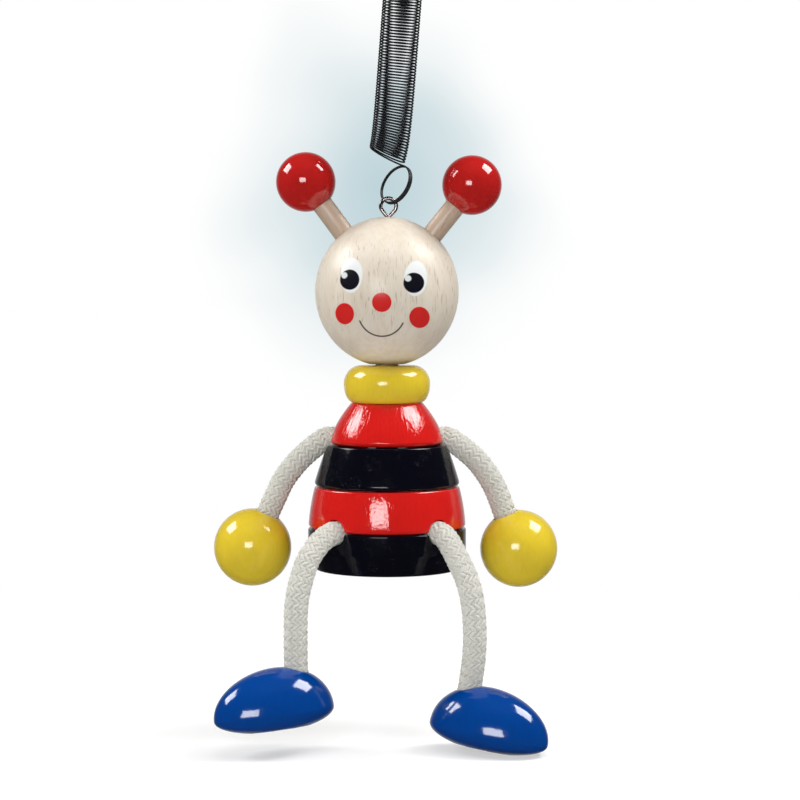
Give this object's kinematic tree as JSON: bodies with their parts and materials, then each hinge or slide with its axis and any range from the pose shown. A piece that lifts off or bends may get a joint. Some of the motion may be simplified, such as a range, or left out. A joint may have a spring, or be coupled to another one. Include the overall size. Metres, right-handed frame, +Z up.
{
  "type": "hanging spring toy",
  "caption": "Wooden figure of turned rings and a round head with antennae, cord arms and legs, hanging by a screw eye from a long soft wire spring.",
  "frame": {"origin": "where the spring's top loop rests on its hook: the highest point of the loop's inner side", "axes": "+Z up, the face looks along -Y, and the figure's own left is at +X; the spring leans a little to the figure's left as in the picture"},
  "size_m": [0.0901, 0.0598, 0.2113],
  "materials": {
    "red_lacquer": "turned beech under gloss red lacquer",
    "black_lacquer": "turned beech under gloss black lacquer",
    "yellow_lacquer": "turned beech under gloss yellow lacquer",
    "blue_lacquer": "turned beech under gloss blue lacquer",
    "bare_beech": "clear satin varnish on pale beech",
    "cotton_cord": "plaited natural cotton",
    "nickel": "bright nickel plate",
    "black_steel": "blackened spring wire"
  },
  "bodies": {
    "hanger": {"spring_top_loop": "black_steel"},
    "coil": {"spring_coil": "black_steel"},
    "end_turns": {"spring_end_turns": "black_steel"},
    "end_loop": {"spring_end_loop": "black_steel"},
    "figure": {"screw_eye": "nickel", "head": "bare_beech", "left_antenna_dowel": "bare_beech", "right_antenna_dowel": "bare_beech", "left_antenna_ball": "red_lacquer", "right_antenna_ball": "red_lacquer", "collar": "yellow_lacquer", "centre_dowel": "bare_beech", "body_ring_1": "red_lacquer", "body_ring_2": "black_lacquer", "body_ring_3": "red_lacquer", "body_ring_4": "black_lacquer"},
    "left_arm_root": {"left_arm_cord_root": "cotton_cord"},
    "left_arm": {"left_arm_cord": "cotton_cord", "left_hand": "yellow_lacquer"},
    "right_arm_root": {"right_arm_cord_root": "cotton_cord"},
    "right_arm": {"right_arm_cord": "cotton_cord", "right_hand": "yellow_lacquer"},
    "left_leg_root": {"left_leg_cord_root": "cotton_cord"},
    "left_leg": {"left_leg_cord": "cotton_cord", "left_foot": "blue_lacquer"},
    "right_leg_root": {"right_leg_cord_root": "cotton_cord"},
    "right_leg": {"right_leg_cord": "cotton_cord", "right_foot": "blue_lacquer"}
  },
  "joints": [
    {"name": "spring_spin", "type": "hinge", "parent": "hanger", "child": "coil", "pos_m": [-0.00034, 0.00154, -0.01145], "axis": [0.0767, 0, 0.9971], "range_deg": [-180, 180], "stiffness_Nm_per_rad": 0.0005, "springref_deg": -14.41},
    {"name": "spring_bounce", "type": "slide", "parent": "coil", "child": "end_turns", "axis": [0.0767, 0, 0.9971], "range_m": [-0.15, 0.022], "stiffness_N_per_m": 20, "springref_m": 0.02826, "deforming": ["spring_coil"]},
    {"name": "end_loop_nod", "type": "hinge", "parent": "end_turns", "child": "end_loop", "pos_m": [-0.00039, 0.00215, -0.06307], "axis": [1, 0, 0], "range_deg": [-30, 30]},
    {"name": "figure_sway", "type": "hinge", "parent": "end_loop", "child": "figure", "pos_m": [-0.00459, 0.00172, -0.07272], "axis": [0, 1, 0], "range_deg": [-30, 30]},
    {"name": "left_arm_swing", "type": "hinge", "parent": "figure", "child": "left_arm_root", "pos_m": [0.01121, 0.00172, -0.13472], "axis": [-1, 0, 0], "range_deg": [-75, 75], "stiffness_Nm_per_rad": 0.002, "springref_deg": 1.47},
    {"name": "left_arm_lift", "type": "hinge", "parent": "left_arm_root", "child": "left_arm", "pos_m": [0.01321, 0.00172, -0.13472], "axis": [0, -1, 0], "range_deg": [-6, 80], "stiffness_Nm_per_rad": 0.003, "springref_deg": 7.63, "deforming": ["left_arm_cord"]},
    {"name": "right_arm_swing", "type": "hinge", "parent": "figure", "child": "right_arm_root", "pos_m": [-0.02119, 0.00172, -0.13472], "axis": [-1, 0, 0], "range_deg": [-75, 75], "stiffness_Nm_per_rad": 0.002, "springref_deg": 1.47},
    {"name": "right_arm_lift", "type": "hinge", "parent": "right_arm_root", "child": "right_arm", "pos_m": [-0.02319, 0.00172, -0.13472], "axis": [0, 1, 0], "range_deg": [-6, 80], "stiffness_Nm_per_rad": 0.003, "springref_deg": 7.9, "deforming": ["right_arm_cord"]},
    {"name": "left_leg_swing", "type": "hinge", "parent": "figure", "child": "left_leg_root", "pos_m": [0.00885, -0.01421, -0.15822], "axis": [0.6561, -0.7547, 0], "range_deg": [-12, 60], "stiffness_Nm_per_rad": 0.002, "springref_deg": 2.08},
    {"name": "left_leg_lift", "type": "hinge", "parent": "left_leg_root", "child": "left_leg", "pos_m": [0.01056, -0.01617, -0.15822], "axis": [-0.7547, -0.6561, 0], "range_deg": [-12, 80], "stiffness_Nm_per_rad": 0.003, "springref_deg": 7.72, "deforming": ["left_leg_cord"]},
    {"name": "right_leg_swing", "type": "hinge", "parent": "figure", "child": "right_leg_root", "pos_m": [-0.01883, -0.01421, -0.15822], "axis": [0.6561, 0.7547, 0], "range_deg": [-12, 60], "stiffness_Nm_per_rad": 0.002, "springref_deg": 2.28},
    {"name": "right_leg_lift", "type": "hinge", "parent": "right_leg_root", "child": "right_leg", "pos_m": [-0.02054, -0.01617, -0.15822], "axis": [-0.7547, 0.6561, 0], "range_deg": [-12, 80], "stiffness_Nm_per_rad": 0.003, "springref_deg": 9.34, "deforming": ["right_leg_cord"]}
  ]
}
